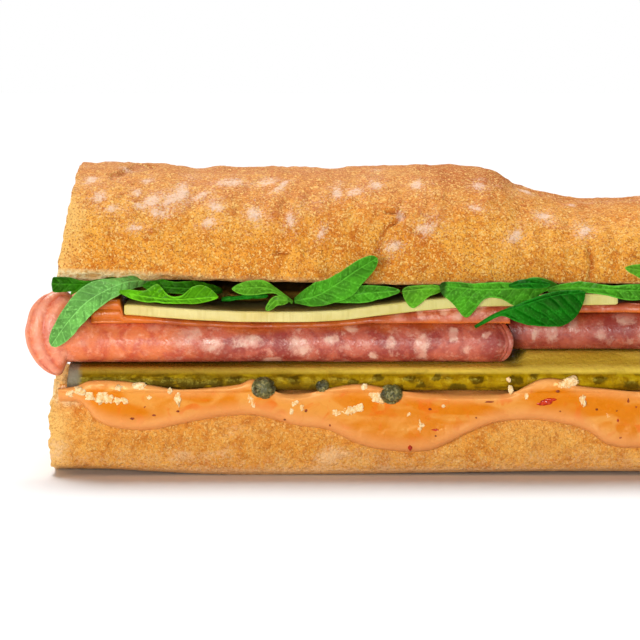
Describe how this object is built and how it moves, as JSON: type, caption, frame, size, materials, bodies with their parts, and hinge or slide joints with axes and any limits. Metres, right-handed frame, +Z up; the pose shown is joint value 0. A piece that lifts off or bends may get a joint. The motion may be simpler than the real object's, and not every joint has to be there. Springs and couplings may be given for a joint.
{
  "type": "deli sandwich",
  "caption": "Length of crusty baguette split and filled with spicy sauce, capers, gherkin slices, folded salami, sliced cheese and rocket leaves.",
  "frame": {"origin": "centre of the bounding box's base, on the flat underside of the lower bread", "axes": "+X along the loaf, +Y from the side in the picture to the far side, +Z up through the filling"},
  "size_m": [0.2196, 0.0849, 0.0703],
  "materials": {
    "bread": "matte",
    "sauce": "gloss",
    "caper": "satin",
    "gherkin": "gloss",
    "salami": "satin",
    "cheese": "satin",
    "rocket": "satin"
  },
  "bodies": {
    "root": {"bread_lower": "bread", "bread_upper": "bread", "sauce": "sauce", "gherkin_front_left": "gherkin", "gherkin_front_right": "gherkin", "gherkin_back_left": "gherkin", "gherkin_back_right": "gherkin", "caper_front_left": "caper", "caper_front_middle": "caper", "caper_front_small": "caper", "caper_front_right": "caper", "caper_front_far_right": "caper", "caper_back_left": "caper", "caper_back_right": "caper", "salami_front_left": "salami", "salami_front_left_inner": "salami", "salami_front_right": "salami", "salami_front_right_inner": "salami", "salami_back_left": "salami", "salami_back_left_inner": "salami", "salami_back_right": "salami", "salami_back_right_inner": "salami", "salami_upper_left": "salami", "salami_upper_right": "salami", "cheese_left": "cheese", "cheese_right": "cheese", "rocket_bed": "rocket", "rocket_drape_left": "rocket", "rocket_far_left": "rocket", "rocket_lobed_left": "rocket", "rocket_dark_left": "rocket", "rocket_cupped": "rocket", "rocket_stem_left": "rocket", "rocket_small_tip": "rocket", "rocket_upright": "rocket", "rocket_low": "rocket", "rocket_hanging": "rocket", "rocket_triple": "rocket", "rocket_dark_fold": "rocket", "rocket_round": "rocket", "rocket_right_low": "rocket", "rocket_tip_up": "rocket", "rocket_right_broad": "rocket", "rocket_right_upright": "rocket", "rocket_drape_right": "rocket", "rocket_drape_left_back": "rocket", "rocket_lobed_left_back": "rocket", "rocket_upright_back": "rocket", "rocket_triple_back": "rocket", "rocket_right_low_back": "rocket", "rocket_right_broad_back": "rocket", "rocket_right_upright_back": "rocket", "rocket_drape_right_back": "rocket"}
  },
  "joints": []
}
